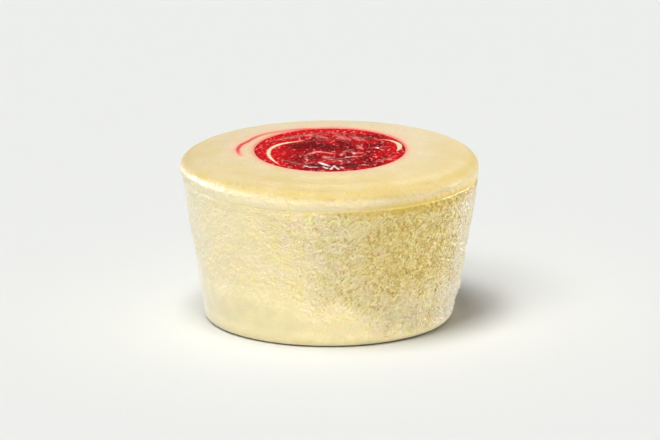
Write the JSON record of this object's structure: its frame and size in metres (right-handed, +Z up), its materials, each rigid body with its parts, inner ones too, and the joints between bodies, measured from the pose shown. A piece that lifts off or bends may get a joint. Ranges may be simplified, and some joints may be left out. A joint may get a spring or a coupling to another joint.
{
  "type": "individual cheesecake",
  "caption": "Small round baked cheesecake with a tapered crumbly side, a smooth overhanging top and a shallow round pool of red berry sauce, standing on its flat base.",
  "frame": {"origin": "middle of the lip's outline, on the flat face that the cake rests on", "axes": "+Z up, +X to the right and -Y towards the viewer in the picture"},
  "size_m": [0.07, 0.07, 0.0401],
  "materials": {
    "baked_crumb": "pale yellow baked cream cheese crumb, torn and porous, matte and slightly moist",
    "set_cream": "smooth set cream top, fine pored, soft satin sheen",
    "berry_sauce": "glossy dark red berry sauce with thin pale cream streaks"
  },
  "bodies": {
    "root": {"cheesecake_body": "baked_crumb", "smooth_top": "set_cream", "berry_sauce": "berry_sauce"}
  },
  "joints": []
}
